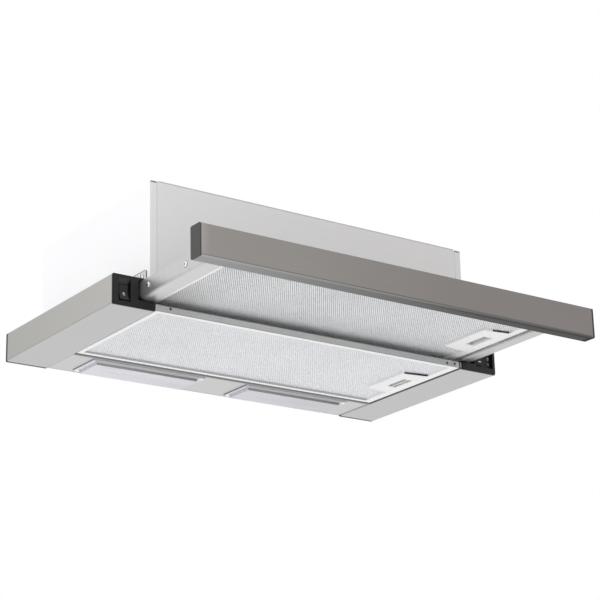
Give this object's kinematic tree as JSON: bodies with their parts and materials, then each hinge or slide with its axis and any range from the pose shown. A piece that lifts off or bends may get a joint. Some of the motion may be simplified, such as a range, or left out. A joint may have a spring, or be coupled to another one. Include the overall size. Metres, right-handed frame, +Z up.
{
  "type": "range hood",
  "caption": "Built-in telescopic range hood with a slide-out filter drawer, a tilting grease filter, recessed switches, covered lamps and a round duct outlet with flaps on its motor box.",
  "frame": {"origin": "Centre of the four cabinet screw holes, on the top face of the two side wings, where the hood meets the cabinet's underside.", "axes": "X runs along the hood's width, Y from the drawer's front towards the wall, Z up towards the duct."},
  "size_m": [0.598, 0.476, 0.214],
  "materials": {
    "wing_steel": "satin",
    "box_white": "satin",
    "box_grey": "satin",
    "panel_steel": "brushed",
    "zinc": "satin",
    "filter_aluminium": "satin",
    "latch_white": "satin",
    "cap_black": "matte",
    "switch_black": "matte",
    "panel_cap_black": "matte",
    "cover_frost": "translucent",
    "lamp_glass": "opal",
    "holder_white": "matte",
    "collar_grey": "matte",
    "scroll_grey": "matte",
    "wheel_white": "matte",
    "motor_metal": "satin",
    "shaft_steel": "turned",
    "capacitor_alu": "satin",
    "flap_grey": "matte"
  },
  "bodies": {
    "casing": {"left_wing": "wing_steel", "right_wing": "wing_steel", "front_strip": "wing_steel", "light_panel": "wing_steel", "left_slide_bracket": "zinc", "right_slide_bracket": "zinc", "left_side_panel": "box_white", "right_side_panel": "box_white", "box_front_panel": "box_grey", "box_back_panel": "box_grey", "box_top_panel": "box_grey", "left_end_cap": "cap_black", "right_end_cap": "cap_black", "light_switch_body": "switch_black", "speed_switch_body": "switch_black", "left_slide_fixed": "zinc", "right_slide_fixed": "zinc", "outlet_collar": "collar_grey", "flap_pin": "zinc", "scroll_left_half": "scroll_grey", "scroll_right_half": "scroll_grey", "motor": "motor_metal", "capacitor": "capacitor_alu", "terminal_box": "holder_white", "cable_gland": "switch_black", "left_lamp_cover": "cover_frost", "right_lamp_cover": "cover_frost", "left_lamp_tray": "zinc", "right_lamp_tray": "zinc", "left_lamp_holder": "holder_white", "right_lamp_holder": "holder_white", "left_lamp": "lamp_glass", "right_lamp": "lamp_glass", "casing_screws": "zinc"},
    "drawer": {"drawer_left_rail": "zinc", "drawer_right_rail": "zinc", "drawer_front_bar": "zinc", "drawer_rear_bar": "zinc", "front_panel": "panel_steel", "panel_left_cap": "panel_cap_black", "panel_right_cap": "panel_cap_black", "drawer_screws": "zinc", "left_slide_drawer": "zinc", "right_slide_drawer": "zinc", "drawer_filter_frame": "filter_aluminium", "drawer_filter_mesh": "filter_aluminium", "drawer_latch_housing": "latch_white"},
    "left_middle": {"left_slide_middle": "zinc"},
    "right_middle": {"right_slide_middle": "zinc"},
    "rocker": {"light_rocker": "switch_black"},
    "speed": {"speed_knob": "switch_black"},
    "rotor": {"impeller": "wheel_white", "motor_shaft": "shaft_steel"},
    "flap_front": {"front_flap": "flap_grey"},
    "flap_rear": {"rear_flap": "flap_grey"},
    "lower_filter": {"lower_filter_frame": "filter_aluminium", "lower_filter_mesh": "filter_aluminium", "lower_latch_housing": "latch_white"},
    "latch_lower": {"lower_latch": "latch_white"},
    "latch_drawer": {"drawer_latch": "latch_white"}
  },
  "joints": [
    {"name": "drawer_slide", "type": "slide", "parent": "casing", "child": "drawer", "axis": [0, 1, 0], "range_m": [0, 0.1755]},
    {"name": "left_slide_travel", "type": "slide", "parent": "casing", "child": "left_middle", "axis": [0, 1, 0], "range_m": [0, 0.08775]},
    {"name": "right_slide_travel", "type": "slide", "parent": "casing", "child": "right_middle", "axis": [0, 1, 0], "range_m": [0, 0.08775]},
    {"name": "light_rocker_tilt", "type": "hinge", "parent": "casing", "child": "rocker", "pos_m": [-0.2817, -0.13, -0.02225], "axis": [1, 0, 0], "range_deg": [0, 16]},
    {"name": "speed_slide", "type": "slide", "parent": "casing", "child": "speed", "axis": [0, 0, 1], "range_m": [0, 0.016]},
    {"name": "impeller_spin", "type": "hinge", "parent": "casing", "child": "rotor", "pos_m": [0, -0.00232, 0.073], "axis": [1, 0, 0], "continuous": true},
    {"name": "front_flap_swing", "type": "hinge", "parent": "casing", "child": "flap_front", "pos_m": [0, 0.02, 0.144], "axis": [-1, 0, 0], "range_deg": [0, 75]},
    {"name": "rear_flap_swing", "type": "hinge", "parent": "casing", "child": "flap_rear", "pos_m": [0, 0.02, 0.144], "axis": [1, 0, 0], "range_deg": [0, 75]},
    {"name": "lower_filter_tilt", "type": "hinge", "parent": "casing", "child": "lower_filter", "pos_m": [-0.2395, 0, -0.0352], "axis": [0, 1, 0], "range_deg": [0, 30]},
    {"name": "lower_latch_slide", "type": "slide", "parent": "lower_filter", "child": "latch_lower", "axis": [-1, 0, 0], "range_m": [-0.0033, 0.0017]},
    {"name": "drawer_latch_slide", "type": "slide", "parent": "drawer", "child": "latch_drawer", "axis": [-1, 0, 0], "range_m": [0, 0.005], "stiffness_N_per_m": 150, "springref_m": -0.004}
  ],
  "couplings": [
    {"joint": "left_slide_travel", "follows": "drawer_slide", "ratio": 0.5},
    {"joint": "right_slide_travel", "follows": "drawer_slide", "ratio": 0.5}
  ]
}
